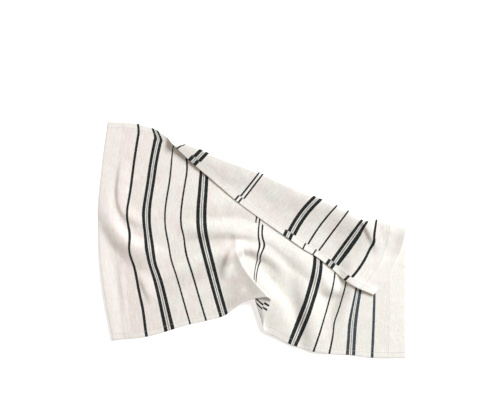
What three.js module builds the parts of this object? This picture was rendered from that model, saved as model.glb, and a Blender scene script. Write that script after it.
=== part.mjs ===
// Tea towel, loosely folded once and laid flat: millimetres, +Z up.
// The origin is on the resting plane, under the middle of the folded towel.
// One sheet of cloth is worked out from cross sections taken along its length.
// Each section runs from the front edge, over the base, round the back fold and down the flap.

import * as THREE from 'three';

// Sizes of the cloth when it is spread flat, and how thick its sheet and hems are.
const CLOTH = { length: 750, width: 500, sheet: 1.2, hemSheet: 1.8 };
const HEM = { side: 14, end: 36 };

// Height of the flap's middle above the middle of the layer that it lies on.
const LAY = 4;
// How much wider a base ridge shows through the flap above it.
const VEIL = 10;
// Length over which the flap sinks from the top of the back fold to where it lies.
const SETTLE = 42;
// Stations between which the flap closes, and how far a half closed flap stands up at its hem.
const CLOSING = { from: 162, to: 197, stand: 8 };
// Shortest cloth that turns at the back fold, also where the fold has opened out.
const LEAST_TURN = 12;

// The pleat's two turns: where the top layer turns under, and where the layer below turns back.
// half: half the length of a turn's step along the cloth; fade: length over which its height fades
// out again; end: share of the base at which the turns have died out.
const PLEAT_TURNS = [{ at: 359, rise: 3 }, { at: 432, rise: 3 }];
const PLEAT_TURN = { half: 8, fade: 30, end: 0.4 };

// Distances between the solid's grid lines along the cloth, closer in the curl and in the pleat.
const GRID_STEP = 16;
const CLOSE_STEPS = [{ from: 163, to: 197, step: 8 }, { from: 300, to: 470, step: 10 }];
// Grid lines across the base, round the back fold and down the flap.
const GRID_LINES = { base: 25, roll: 6, flap: 7 };
// Cloth that would end up lower than this lies flat on the resting plane.
const TOUCH = 0.05;

// Places along a section's base, as shares of the way from the front edge to the back fold.
const PLACES = [0, 0.3, 0.55, 0.8, 1];
// Straight steps in one ridge's crest, and a distance that counts as none.
const CREST_STEPS = 23;
const SAME_PLACE = 1e-9;
// Share of the base from which the cloth heads straight for the back fold, and share of the flap
// at which its sideways bow gives the way that it leaves the fold.
const STRAIGHT_FROM = 0.97;
const BOW_AT = 0.4;

// Sections across the cloth, seen from above.
// at: distance along the front edge from the left end.
// edge, knee, elbow, shoulder, fold: where the base passes; hem: where the flap ends.
// roll: height of the back fold; bend: sideways bow of the flap.
// lift: height of the pleat at the front edge and at the knee.
const SECTIONS = [
  { at: 0, edge: [-315, -226], knee: [-340, -79], elbow: [-348, 45], shoulder: [-339, 169],
    fold: [-328, 251], hem: [-326, 267], roll: 0, bend: 0, lift: [0, 0] },
  { at: 70, edge: [-239, -219], knee: [-262, -83], elbow: [-281, 32], shoulder: [-271, 148],
    fold: [-257, 242], hem: [-258, 262], roll: 0, bend: 0, lift: [0, 0] },
  { at: 163, edge: [-140, -191], knee: [-174, -68], elbow: [-197, 36], shoulder: [-188, 142],
    fold: [-178, 216], hem: [-190, 229], roll: 5, bend: 0, lift: [0, 0] },
  { at: 181, edge: [-122, -187], knee: [-156, -67], elbow: [-179, 35], shoulder: [-170, 138],
    fold: [-168, 212], hem: [-180, 217], roll: 9, bend: 0, lift: [0, 0] },
  { at: 197, edge: [-104, -183], knee: [-138, -65], elbow: [-161, 34], shoulder: [-153, 135],
    fold: [-149, 216], hem: [-168, 205], roll: 10, bend: 0, lift: [0, 0] },
  { at: 240, edge: [-64, -172], knee: [-94, -62], elbow: [-114, 30], shoulder: [-111, 124],
    fold: [-107, 200], hem: [-134, 173], roll: 9, bend: 0, lift: [0, 0] },
  { at: 300, edge: [-14, -138], knee: [-44, -54], elbow: [-60, 35], shoulder: [-58, 115],
    fold: [-57, 180], hem: [-94, 139], roll: 8, bend: 0, lift: [6, 3] },
  { at: 359, edge: [42, -134], knee: [-30, -38], elbow: [-33, 34], shoulder: [-33, 111],
    fold: [-32, 171], hem: [-75, 122], roll: 8, bend: 0, lift: [12, 6] },
  { at: 395, edge: [30, -169], knee: [-19, -46], elbow: [-25, 32], shoulder: [-27, 106],
    fold: [-23, 168], hem: [-68, 117], roll: 8, bend: 0, lift: [8, 4] },
  { at: 432, edge: [28, -204], knee: [-11, -54], elbow: [-16, 29], shoulder: [-17, 101],
    fold: [-13, 164], hem: [-62, 111], roll: 8, bend: 0, lift: [3, 1.5] },
  { at: 470, edge: [57, -222], knee: [21, -51], elbow: [26, 20], shoulder: [36, 90],
    fold: [37, 144], hem: [-17, 74], roll: 9, bend: 0, lift: [0, 0] },
  { at: 510, edge: [91, -238], knee: [129, -141], elbow: [149, -60], shoulder: [146, 27],
    fold: [150, 95], hem: [84, 2], roll: 11, bend: -6, lift: [0, 0] },
  { at: 556, edge: [139, -253], knee: [170, -156], elbow: [188, -75], shoulder: [189, 11],
    fold: [193, 78], hem: [120, -23], roll: 12, bend: -4, lift: [0, 0] },
  { at: 584, edge: [175, -258], knee: [196, -162], elbow: [215, -83], shoulder: [217, 0],
    fold: [219, 66], hem: [143, -36], roll: 13, bend: 0, lift: [0, 0] },
  { at: 632, edge: [223, -261], knee: [230, -172], elbow: [241, -99], shoulder: [248, -25],
    fold: [254, 43], hem: [179, -64], roll: 13, bend: 0, lift: [0, 0] },
  { at: 682, edge: [272, -267], knee: [276, -173], elbow: [278, -96], shoulder: [280, -18],
    fold: [281, 46], hem: [215, -95], roll: 13, bend: 14, lift: [0, 0] },
  { at: 750, edge: [348, -267], knee: [348, -176], elbow: [348, -102], shoulder: [348, -27],
    fold: [349, 32], hem: [275, -124], roll: 13, bend: 14, lift: [0, 0] },
];

// Soft ridges seen from above. A ridge's crest runs smoothly through a few spots.
// rise: height of the crest; left, right: how far its foot reaches to each side, looking along it.
// A flap ridge lifts the flap alone.
const RIDGES = [
  {
    name: 'left crease',
    crest: [
      { x: -292, y: 185, rise: 0, left: 23, right: 14 },
      { x: -300, y: 140, rise: 3, left: 29, right: 14 },
      { x: -303, y: 95, rise: 3.4, left: 32, right: 14 },
      { x: -295, y: 66, rise: 3.4, left: 27, right: 14 },
      { x: -272, y: 48, rise: 3, left: 23, right: 16 },
      { x: -231, y: 32, rise: 0, left: 20, right: 16 },
    ],
  },
  {
    name: 'left swell',
    crest: [
      { x: -326, y: 163, rise: 0, left: 18, right: 41 },
      { x: -329, y: 95, rise: 2, left: 23, right: 41 },
      { x: -322, y: 45, rise: 5.5, left: 25, right: 29 },
      { x: -297, y: 5, rise: 9, left: 25, right: 34 },
      { x: -265, y: -18, rise: 8, left: 29, right: 45 },
      { x: -227, y: -32, rise: 4.5, left: 29, right: 50 },
      { x: -191, y: -45, rise: 0, left: 27, right: 41 },
    ],
  },
  {
    name: 'left edge',
    crest: [
      { x: -356, y: 18, rise: 0, left: 27, right: 23 },
      { x: -351, y: -27, rise: 2.5, left: 34, right: 23 },
      { x: -340, y: -102, rise: 3.6, left: 38, right: 23 },
      { x: -326, y: -181, rise: 3.6, left: 38, right: 23 },
      { x: -320, y: -238, rise: 3, left: 38, right: 23 },
    ],
  },
  {
    name: 'above the cross',
    crest: [
      { x: -154, y: 63, rise: 0, left: 32, right: 23 },
      { x: -109, y: 74, rise: 2.6, left: 41, right: 31 },
      { x: -59, y: 76, rise: 3, left: 41, right: 32 },
      { x: -14, y: 72, rise: 2.6, left: 41, right: 32 },
      { x: 26, y: 52, rise: 0, left: 32, right: 27 },
    ],
  },
  {
    name: 'upper cross',
    crest: [
      { x: -168, y: 23, rise: 0, left: 27, right: 27 },
      { x: -123, y: 21, rise: 4.4, left: 23, right: 34 },
      { x: -78, y: 20, rise: 6.4, left: 24, right: 29 },
      { x: -32, y: 17, rise: 6.5, left: 25, right: 23 },
      { x: -1, y: 9, rise: 6.2, left: 25, right: 20 },
      { x: 36, y: -5, rise: 5.2, left: 27, right: 23 },
      { x: 74, y: -25, rise: 4.8, left: 29, right: 25 },
      { x: 112, y: -52, rise: 5.2, left: 29, right: 27 },
      { x: 149, y: -81, rise: 4.5, left: 29, right: 27 },
      { x: 176, y: -109, rise: 2, left: 27, right: 27 },
    ],
  },
  {
    name: 'lower cross',
    crest: [
      { x: -213, y: -109, rise: 0, left: 32, right: 32 },
      { x: -164, y: -88, rise: 3.5, left: 29, right: 36 },
      { x: -118, y: -68, rise: 6, left: 27, right: 36 },
      { x: -78, y: -48, rise: 8, left: 23, right: 32 },
      { x: -48, y: -29, rise: 9.5, left: 18, right: 27 },
      { x: -28, y: -16, rise: 10, left: 14, right: 20 },
      { x: -5, y: -16, rise: 9.5, left: 14, right: 16 },
      { x: 17, y: -24, rise: 8.5, left: 16, right: 16 },
      { x: 42, y: -37, rise: 7.5, left: 16, right: 16 },
      { x: 63, y: -52, rise: 6, left: 16, right: 14 },
      { x: 71, y: -75, rise: 4, left: 16, right: 14 },
      { x: 69, y: -100, rise: 0, left: 16, right: 14 },
    ],
  },
  {
    name: 'pleat spine',
    crest: [
      { x: -19, y: -50, rise: 1, left: 18, right: 77 },
      { x: -1, y: -70, rise: 4.5, left: 23, right: 90 },
      { x: 20, y: -100, rise: 7, left: 27, right: 95 },
      { x: 42, y: -131, rise: 7.2, left: 34, right: 100 },
      { x: 63, y: -163, rise: 6.5, left: 34, right: 95 },
      { x: 78, y: -199, rise: 4.5, left: 32, right: 95 },
      { x: 90, y: -231, rise: 2.5, left: 32, right: 90 },
    ],
  },
  {
    name: 'band ridge',
    crest: [
      { x: 110, y: -68, rise: 0, left: 32, right: 29 },
      { x: 119, y: -113, rise: 5, left: 34, right: 34 },
      { x: 128, y: -158, rise: 7, left: 34, right: 36 },
      { x: 135, y: -204, rise: 5.5, left: 34, right: 34 },
      { x: 140, y: -240, rise: 4, left: 32, right: 32 },
    ],
  },
  {
    name: 'right crest',
    crest: [
      { x: 293, y: 32, rise: 5, left: 32, right: 68 },
      { x: 282, y: -16, rise: 8, left: 32, right: 77 },
      { x: 259, y: -61, rise: 10, left: 32, right: 68 },
      { x: 230, y: -100, rise: 12, left: 27, right: 34 },
      { x: 215, y: -136, rise: 8, left: 25, right: 27 },
      { x: 201, y: -176, rise: 4.5, left: 29, right: 29 },
      { x: 180, y: -222, rise: 2, left: 34, right: 29 },
      { x: 167, y: -249, rise: 1, left: 34, right: 29 },
    ],
  },
  {
    name: 'pocket lip',
    crest: [
      { x: 151, y: -102, rise: 0, left: 32, right: 20 },
      { x: 169, y: -110, rise: 4, left: 34, right: 23 },
      { x: 189, y: -113, rise: 5, left: 32, right: 23 },
      { x: 210, y: -106, rise: 1, left: 27, right: 18 },
    ],
  },
  {
    name: 'flap corner',
    flap: true,
    crest: [
      { x: 212, y: -86, rise: 0, left: 27, right: 27 },
      { x: 239, y: -109, rise: 2.6, left: 29, right: 27 },
      { x: 271, y: -129, rise: 3.2, left: 29, right: 27 },
      { x: 289, y: -136, rise: 3, left: 27, right: 27 },
    ],
  },
];

// Places seen from above where small folds push the base sideways, and how far that reaches.
const NUDGES = [
  { x: 23, y: -14, push: [11, 0], reach: 18 },
  { x: 196, y: -188, push: [-4, 0], reach: 24 },
  { x: -268, y: 65, push: [-3, 0], reach: 26 },
  { x: -272, y: 12, push: [3, 0], reach: 22 },
  { x: -262, y: -28, push: [-5, 0], reach: 26 },
  { x: -213, y: -54, push: [-5, 0], reach: 30 },
  { x: -160, y: -45, push: [-3, 0], reach: 26 },
  { x: -165, y: 6, push: [3, 0], reach: 20 },
  { x: -150, y: 160, push: [4, 0], reach: 30 },
  { x: -200, y: 130, push: [2, 0], reach: 40 },
  { x: -250, y: -160, push: [2, 0], reach: 34 },
];

const clamp = (value, low, high) => Math.min(high, Math.max(low, value));
const mix = (a, b, share) => a + (b - a) * share;
const ease = (share) => {
  const held = clamp(share, 0, 1);
  return held * held * (3 - 2 * held);
};

// A smooth curve through values given at uneven knots.
function through(knots, values, place) {
  const last = knots.length - 1;
  const step = (i) => knots[i + 1] - knots[i];
  const rate = (i) => (values[i + 1] - values[i]) / step(i);
  const inner = (i) => (rate(i - 1) * step(i) + rate(i) * step(i - 1)) / (step(i) + step(i - 1));
  const slope = (i) => {
    if (i === 0) return 1.5 * rate(0) - 0.5 * inner(1);
    if (i === last) return 1.5 * rate(last - 1) - 0.5 * inner(last - 1);
    return inner(i);
  };
  let i = 0;
  while (i < last - 1 && place >= knots[i + 1]) i += 1;
  const h = step(i);
  const x = (place - knots[i]) / h;
  const square = x * x;
  const cube = square * x;
  return (2 * cube - 3 * square + 1) * values[i] + (cube - 2 * square + x) * h * slope(i)
    + (3 * square - 2 * cube) * values[i + 1] + (cube - square) * h * slope(i + 1);
}

const STATIONS = SECTIONS.map((section) => section.at);
const alongCloth = (pick, at) => through(STATIONS, SECTIONS.map(pick), at);
const placeAt = (name, at) => new THREE.Vector2(
  alongCloth((section) => section[name][0], at),
  alongCloth((section) => section[name][1], at),
);

// A place on the base, at a share of the way from the front edge to the back fold.
const placeOnBase = (places, share) => new THREE.Vector2(
  through(PLACES, places.map((place) => place.x), share),
  through(PLACES, places.map((place) => place.y), share),
);

// The same place once every nudge has pushed it by its share exp(-(distance / reach)^2).
const nudged = (place) => NUDGES.reduce((moved, nudge) => {
  const away = Math.hypot(place.x - nudge.x, place.y - nudge.y) / nudge.reach;
  return moved.addScaledVector(new THREE.Vector2(...nudge.push), Math.exp(-(away ** 2)));
}, place.clone());

// A place round the back fold: the cloth leaves the way that the base ends and comes back the way
// that the flap starts.
function placeOnRoll(section, share) {
  const bulge = (section.turn / Math.PI) * (Math.sin(Math.PI * share) - 1);
  const drift = section.turn * (share - 0.5);
  return section.fold.clone()
    .addScaledVector(section.outward, (bulge + drift) / 2)
    .addScaledVector(section.onward, (drift - bulge) / 2);
}

// The section at one station: every column interpolated, the ways into and out of the back fold,
// the cloth in its turn, and the cloth left between it and the front edge.
function sectionAt(at) {
  const places = ['edge', 'knee', 'elbow', 'shoulder', 'fold'].map((name) => placeAt(name, at));
  const fold = places.at(-1);
  const hem = placeAt('hem', at);
  const roll = Math.max(0, alongCloth((section) => section.roll, at));
  const bend = alongCloth((section) => section.bend, at);
  const lift = [0, 1].map((end) => Math.max(0, alongCloth((section) => section.lift[end], at)));
  const outward = fold.clone().sub(placeOnBase(places, STRAIGHT_FROM)).normalize();
  const chord = hem.clone().sub(fold);
  const sideways = new THREE.Vector2(-chord.y, chord.x).normalize();
  const onward = chord.multiplyScalar(BOW_AT).addScaledVector(sideways, bend).normalize();
  const turn = Math.max(LEAST_TURN, (Math.PI * roll) / 2);
  const closed = ease((at - CLOSING.from) / (CLOSING.to - CLOSING.from));
  const section = { at, places, fold, hem, roll, bend, lift, outward, sideways, onward, turn, closed };
  section.flapStart = placeOnRoll(section, 1);
  section.reach = CLOTH.width - turn - section.flapStart.distanceTo(hem);
  return section;
}

// A ridge's crest as short straight steps between smooth in-between spots.
function crestSteps(ridge) {
  const knots = [0];
  ridge.crest.slice(1).forEach((spot, i) => {
    knots.push(knots[i] + Math.hypot(spot.x - ridge.crest[i].x, spot.y - ridge.crest[i].y));
  });
  const spotAt = (i) => {
    const at = (knots.at(-1) * i) / CREST_STEPS;
    const read = (key) => through(knots, ridge.crest.map((spot) => spot[key]), at);
    return {
      at: new THREE.Vector2(read('x'), read('y')),
      rise: read('rise'),
      left: read('left'),
      right: read('right'),
    };
  };
  const steps = [];
  for (let i = 0; i < CREST_STEPS; i += 1) steps.push({ from: spotAt(i), to: spotAt(i + 1) });
  return steps;
}

const CRESTS = new Map(RIDGES.map((ridge) => [ridge, crestSteps(ridge)]));

// Height of one ridge over a place: a rounded hump with a smooth foot on each side of its crest.
function ridgeHeight(ridge, place, veil) {
  const nearest = { away: Infinity };
  CRESTS.get(ridge).forEach(({ from, to }) => {
    const span = to.at.clone().sub(from.at);
    const offset = place.clone().sub(from.at);
    const share = clamp(offset.dot(span) / span.lengthSq(), 0, 1);
    const gap = offset.addScaledVector(span, -share);
    const away = gap.length();
    if (away < nearest.away) Object.assign(nearest, { away, gap, span, from, to, share });
  });
  const { away, gap, span, from, to, share } = nearest;
  const side = span.cross(gap) / Math.max(SAME_PLACE, away * span.length());
  const left = mix(from.left, to.left, share);
  const right = mix(from.right, to.right, share);
  const shareOfReach = away / (mix(right, left, ease((1 + side) / 2)) + veil);
  if (shareOfReach >= 1) return 0;
  return mix(from.rise, to.rise, share) * (1 - shareOfReach ** 2) ** 2;
}

// Height that the ridges give a place, for a layer between the base at 0 and the flap at 1.
const groundHeight = (place, layer) => RIDGES.reduce((sum, ridge) => (
  sum + (ridge.flap ? layer * ridgeHeight(ridge, place, 0) : ridgeHeight(ridge, place, layer * VEIL))
), 0);

// The step down across the pleat's turns at one station.
const turnHeight = (at) => PLEAT_TURNS.reduce((sum, turn) => {
  const away = at - turn.at;
  return sum - turn.rise * Math.tanh(away / PLEAT_TURN.half) * Math.exp(-((away / PLEAT_TURN.fade) ** 2));
}, 0);

// Sheet thickness at a distance from the front edge of the cloth and from its left end.
function sheetAt(across, along) {
  const sideways = Math.min(across, CLOTH.width - across) < HEM.side;
  const endways = Math.min(along, CLOTH.length - along) < HEM.end;
  return sideways || endways ? CLOTH.hemSheet : CLOTH.sheet;
}

// A point of the base layer; the pleat's lift fades out above the knee.
function basePoint(section, share) {
  const place = nudged(placeOnBase(section.places, share));
  const lift = share < PLACES[1]
    ? mix(section.lift[0], section.lift[1], share / PLACES[1])
    : section.lift[1] * (1 - ease((share - PLACES[1]) / (PLACES[2] - PLACES[1])));
  const turned = turnHeight(section.at) * (1 - ease(share / PLEAT_TURN.end));
  const height = Math.max(0, lift + turned) + groundHeight(place, 0);
  return { place, height, across: share * section.reach };
}

// A point of the back fold, where the cloth turns up and over.
function rollPoint(section, share) {
  const place = placeOnRoll(section, share);
  const height = groundHeight(place, share) + (section.roll / 2) * (1 - Math.cos(Math.PI * share));
  return { place, height, across: section.reach + section.turn * share };
}

// A point of the flap, which settles on the base; where it is half closed, its hem stands up.
function flapPoint(section, share) {
  const bow = section.bend * 4 * share * (1 - share);
  const place = section.flapStart.clone().lerp(section.hem, share).addScaledVector(section.sideways, bow);
  const lie = Math.min(LAY * section.closed, section.roll);
  const settle = Math.exp(-((place.distanceTo(section.flapStart) / SETTLE) ** 2));
  const stand = CLOSING.stand * 4 * section.closed * (1 - section.closed) * share;
  const height = groundHeight(place, 1) + mix(lie, section.roll, settle) + stand;
  return { place, height, across: mix(section.reach + section.turn, CLOTH.width, share) };
}

// Grid lines along the cloth.
function stations() {
  const list = [];
  SECTIONS.slice(0, -1).forEach((section, index) => {
    const next = SECTIONS[index + 1];
    const close = CLOSE_STEPS.find((part) => section.at >= part.from && next.at <= part.to);
    const count = Math.ceil((next.at - section.at) / (close ? close.step : GRID_STEP));
    for (let i = 0; i < count; i += 1) list.push(mix(section.at, next.at, i / count));
  });
  return [...list, CLOTH.length];
}

// One line of the sheet's middle surface, from the front edge to the end of the flap.
function middleLine(at) {
  const section = sectionAt(at);
  const baseEnd = 1 - section.turn / 2 / section.reach;
  const line = [];
  for (let i = 0; i < GRID_LINES.base; i += 1) {
    line.push(basePoint(section, (baseEnd * i) / GRID_LINES.base));
  }
  for (let i = 0; i <= GRID_LINES.roll; i += 1) line.push(rollPoint(section, i / GRID_LINES.roll));
  for (let i = 1; i <= GRID_LINES.flap; i += 1) line.push(flapPoint(section, i / GRID_LINES.flap));
  return line.map((point) => {
    const sheet = sheetAt(point.across, at);
    return { sheet, middle: new THREE.Vector3(point.place.x, point.place.y, point.height + sheet / 2) };
  });
}

// The closed sheet: top and bottom faces half a sheet from the middle, and walls round the rim.
function sheetGeometry() {
  const lines = stations().map(middleLine);
  const columns = lines.length;
  const rows = lines[0].length;
  const middleAt = (i, j) => lines[clamp(i, 0, columns - 1)][clamp(j, 0, rows - 1)].middle;
  const unit = (i, j, k, l) => middleAt(k, l).clone().sub(middleAt(i, j)).normalize();
  const positions = [];
  [1, -1].forEach((side) => {
    lines.forEach((line, i) => line.forEach((point, j) => {
      const along = unit(i - 1, j, i, j).add(unit(i, j, i + 1, j));
      const across = unit(i, j - 1, i, j).add(unit(i, j, i, j + 1));
      const normal = along.cross(across).normalize();
      const skin = point.middle.clone().addScaledVector(normal, (side * point.sheet) / 2);
      positions.push(skin.x, skin.y, skin.z < TOUCH ? 0 : skin.z);
    }));
  });
  const count = columns * rows;
  const index = [];
  const quad = (a, b, c, d) => index.push(a, b, c, a, c, d);
  const spot = (i, j) => i * rows + j;
  for (let i = 0; i < columns - 1; i += 1) {
    for (let j = 0; j < rows - 1; j += 1) {
      const [a, b, c, d] = [spot(i, j), spot(i + 1, j), spot(i + 1, j + 1), spot(i, j + 1)];
      quad(a, b, c, d);
      quad(a + count, d + count, c + count, b + count);
    }
  }
  const rim = [];
  for (let i = 0; i < columns - 1; i += 1) rim.push(spot(i, 0));
  for (let j = 0; j < rows - 1; j += 1) rim.push(spot(columns - 1, j));
  for (let i = columns - 1; i > 0; i -= 1) rim.push(spot(i, rows - 1));
  for (let j = rows - 1; j > 0; j -= 1) rim.push(spot(0, j));
  rim.forEach((a, k) => {
    const b = rim[(k + 1) % rim.length];
    quad(a, a + count, b + count, b);
  });
  const geometry = new THREE.BufferGeometry();
  geometry.setAttribute('position', new THREE.Float32BufferAttribute(positions, 3));
  geometry.setIndex(index);
  geometry.computeBoundingBox();
  const centre = geometry.boundingBox.getCenter(new THREE.Vector3());
  geometry.translate(-centre.x, -centre.y, 0);
  geometry.computeVertexNormals();
  return geometry;
}

const cloth = new THREE.Mesh(
  sheetGeometry(),
  new THREE.MeshStandardMaterial({ color: 0xece7df, roughness: 0.92, metalness: 0, side: THREE.DoubleSide }),
);
cloth.name = 'cloth';

const towel = new THREE.Group();
towel.add(cloth);

export default towel;
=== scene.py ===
"""Tea towel: one sheet of striped cotton, folded over itself once and gathered in a soft pleat.

The cloth is a surface of two parameters: the distance along it from its left end, and the distance
across it from its front edge, over the base, round the back fold and down the flap to its hem.
Tables are in millimetres. Meshes are in metres, in the frame's axes, +Z up.
"""

import logging
from dataclasses import dataclass, field
from enum import Enum
from typing import Any

import bpy
import numpy as np
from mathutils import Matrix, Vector


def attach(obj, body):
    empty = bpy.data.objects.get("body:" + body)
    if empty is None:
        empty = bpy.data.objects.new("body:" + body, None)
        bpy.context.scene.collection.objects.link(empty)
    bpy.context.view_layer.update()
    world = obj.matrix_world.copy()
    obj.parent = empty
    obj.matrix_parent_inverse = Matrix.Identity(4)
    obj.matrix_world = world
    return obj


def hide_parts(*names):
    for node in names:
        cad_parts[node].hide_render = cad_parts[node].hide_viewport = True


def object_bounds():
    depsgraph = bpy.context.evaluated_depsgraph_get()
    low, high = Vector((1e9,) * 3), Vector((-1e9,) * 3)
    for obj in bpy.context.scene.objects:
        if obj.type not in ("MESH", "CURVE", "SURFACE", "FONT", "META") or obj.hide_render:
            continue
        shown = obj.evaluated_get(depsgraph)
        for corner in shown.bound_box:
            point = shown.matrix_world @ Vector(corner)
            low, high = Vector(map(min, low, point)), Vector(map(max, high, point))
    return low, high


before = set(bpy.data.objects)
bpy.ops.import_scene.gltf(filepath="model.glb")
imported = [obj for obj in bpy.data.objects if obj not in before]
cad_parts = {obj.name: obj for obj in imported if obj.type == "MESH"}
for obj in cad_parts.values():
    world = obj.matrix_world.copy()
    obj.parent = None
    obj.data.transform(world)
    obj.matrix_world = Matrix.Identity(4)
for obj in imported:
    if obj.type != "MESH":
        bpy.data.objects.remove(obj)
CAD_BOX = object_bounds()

LOG = logging.getLogger("tea_towel")
MILLIMETRE = 0.001
TINY = 1e-12
CREST_STEPS = 24
ATTRIBUTE = "cloth_place"
BAKE_MAP = "OFBake"
Colour = tuple[float, float, float, float]


# Curves and grids

def ease(share: np.ndarray) -> np.ndarray:
    """Smooth step 3s^2 - 2s^3 of a share held between 0 and 1."""
    held = np.clip(share, 0.0, 1.0)
    return held * held * (3.0 - 2.0 * held)


def mix(start: Any, end: Any, share: Any) -> Any:
    """Value at a share of the way from start to end."""
    return start + (end - start) * share


def unit(vectors: np.ndarray) -> np.ndarray:
    """Vectors along the last axis, made one unit long."""
    return vectors / np.maximum(np.linalg.norm(vectors, axis=-1, keepdims=True), TINY)


def curve_through(knots: np.ndarray, values: np.ndarray, place: np.ndarray) -> np.ndarray:
    """Smooth curve through values at uneven knots.

    On each step h between knots, with x the share of the step, the curve is the cubic
    (2x^3-3x^2+1) a + (x^3-2x^2+x) h s + (3x^2-2x^3) b + (x^3-x^2) h t, where a and b are the
    values at its ends and s and t the slopes there. An inner slope is the mean of the rates of
    change on both sides, each weighted by the other side's step.

    Args:
        knots: Rising places, shape (K,).
        values: Values at the knots, shape (K, N, C): N curves with C parts each.
        place: Where to read each curve, shape (N, P).

    Returns:
        The curves' values, shape (N, P, C).
    """
    step = np.diff(knots)
    rate = np.diff(values, axis=0) / step[:, None, None]
    before, after = step[:-1, None, None], step[1:, None, None]
    inner = (rate[:-1] * after + rate[1:] * before) / (after + before)
    first = 1.5 * rate[:1] - 0.5 * inner[:1]
    last = 1.5 * rate[-1:] - 0.5 * inner[-1:]
    slope = np.concatenate([first, inner, last])
    i = np.clip(np.searchsorted(knots, place, side="right") - 1, 0, len(step) - 1)
    n = np.arange(values.shape[1])[:, None]
    h = step[i][..., None]
    x = (place - knots[i])[..., None] / h
    return (
        (2 * x**3 - 3 * x**2 + 1) * values[i, n]
        + (x**3 - 2 * x**2 + x) * h * slope[i, n]
        + (3 * x**2 - 2 * x**3) * values[i + 1, n]
        + (x**3 - x**2) * h * slope[i + 1, n]
    )


def along_grid(grid: np.ndarray, axis: int) -> np.ndarray:
    """Direction of a grid's lines at each point: the sum of the unit steps before and after it.

    Args:
        grid: Points of the grid, shape (C, R, 3).
        axis: 0 for the lines along the cloth, 1 for those across it.

    Returns:
        Unit vectors, shape (C, R, 3). At either end of a line its one step counts twice.
    """
    step = unit(np.diff(grid, axis=axis))
    pad = [(0, 0)] * grid.ndim
    pad[axis] = (1, 1)
    padded = np.pad(step, pad, mode="edge")
    before = np.take(padded, range(padded.shape[axis] - 1), axis=axis)
    after = np.take(padded, range(1, padded.shape[axis]), axis=axis)
    return unit(before + after)


# The cloth's tables, in millimetres

@dataclass(frozen=True)
class Section:
    """One section across the cloth, seen from above.

    at is the distance along the front edge from the left end. The base passes edge, knee, elbow,
    shoulder and fold, and the flap ends at hem. roll is the height of the back fold, bend the
    sideways bow of the flap, and lift the pleat's height at the front edge and at the knee.
    gathered is the cloth that the pleat takes up before the section, above the knee.
    """

    at: float
    edge: tuple[float, float]
    knee: tuple[float, float]
    elbow: tuple[float, float]
    shoulder: tuple[float, float]
    fold: tuple[float, float]
    hem: tuple[float, float]
    roll: float = 0.0
    bend: float = 0.0
    lift: tuple[float, float] = (0.0, 0.0)
    gathered: float = 0.0

    def row(self) -> list[float]:
        """The section's numbers in one list: six places, then roll, bend, lift and gathered."""
        places = (*self.edge, *self.knee, *self.elbow, *self.shoulder, *self.fold, *self.hem)
        return [*places, self.roll, self.bend, *self.lift, self.gathered]


# How many numbers of a row are the base's places, hem, roll, bend, lift and gathered
SECTION_ROW = (10, 2, 1, 1, 2, 1)
# Shares of the way over the base at which it passes edge, knee, elbow, shoulder and fold
SHARES = np.array([0.0, 0.3, 0.55, 0.8, 1.0])
SECTIONS = (
    Section(0, (-315, -226), (-340, -79), (-348, 45), (-339, 169), (-328, 251), (-326, 267)),
    Section(70, (-239, -219), (-262, -83), (-281, 32), (-271, 148), (-257, 242), (-258, 262)),
    Section(163, (-140, -191), (-174, -68), (-197, 36), (-188, 142), (-178, 216), (-190, 229), 5),
    Section(181, (-122, -187), (-156, -67), (-179, 35), (-170, 138), (-168, 212), (-180, 217), 9),
    Section(197, (-104, -183), (-138, -65), (-161, 34), (-153, 135), (-149, 216), (-168, 205), 10),
    Section(240, (-64, -172), (-94, -62), (-114, 30), (-111, 124), (-107, 200), (-134, 173), 9),
    Section(300, (-14, -138), (-44, -54), (-60, 35), (-58, 115), (-57, 180), (-94, 139), 8, 0, (6, 3), 10),
    Section(359, (42, -134), (-30, -38), (-33, 34), (-33, 111), (-32, 171), (-75, 122), 8, 0, (12, 6), 41),
    Section(395, (30, -169), (-19, -46), (-25, 32), (-27, 106), (-23, 168), (-68, 117), 8, 0, (8, 4), 68),
    Section(432, (28, -204), (-11, -54), (-16, 29), (-17, 101), (-13, 164), (-62, 111), 8, 0, (3, 1.5), 96),
    Section(470, (57, -222), (21, -51), (26, 20), (36, 90), (37, 144), (-17, 74), 9, 0, (0, 0), 78),
    Section(510, (91, -238), (129, -141), (149, -60), (146, 27), (150, 95), (84, 2), 11, -6),
    Section(556, (139, -253), (170, -156), (188, -75), (189, 11), (193, 78), (120, -23), 12, -4),
    Section(584, (175, -258), (196, -162), (215, -83), (217, 0), (219, 66), (143, -36), 13),
    Section(632, (223, -261), (230, -172), (241, -99), (248, -25), (254, 43), (179, -64), 13),
    Section(682, (272, -267), (276, -173), (278, -96), (280, -18), (281, 46), (215, -95), 13, 14),
    Section(750, (348, -267), (348, -176), (348, -102), (348, -27), (349, 32), (275, -124), 13, 14),
)


class Layer(Enum):
    """Which layers a ridge lifts."""

    ALL = "all"
    FLAP = "flap"


@dataclass(frozen=True)
class Nudge:
    """A place seen from above where small folds push the cloth sideways, and how far that reaches."""

    x: float
    y: float
    dx: float
    dy: float
    reach: float


FLAP_NUDGES = (
    Nudge(276, -6, 4, -2, 13), Nudge(262, 22, -2, 0, 14),
)
BASE_NUDGES = (
    Nudge(23, -14, 11, 0, 18), Nudge(196, -188, -4, 0, 24), Nudge(-268, 65, -3, 0, 26),
    Nudge(-272, 12, 3, 0, 22), Nudge(-262, -28, -5, 0, 26), Nudge(-213, -54, -5, 0, 30),
    Nudge(-160, -45, -3, 0, 26), Nudge(-165, 6, 3, 0, 20), Nudge(-150, 160, 4, 0, 30),
    Nudge(-200, 130, 2, 0, 40), Nudge(-250, -160, 2, 0, 34),
)


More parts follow.
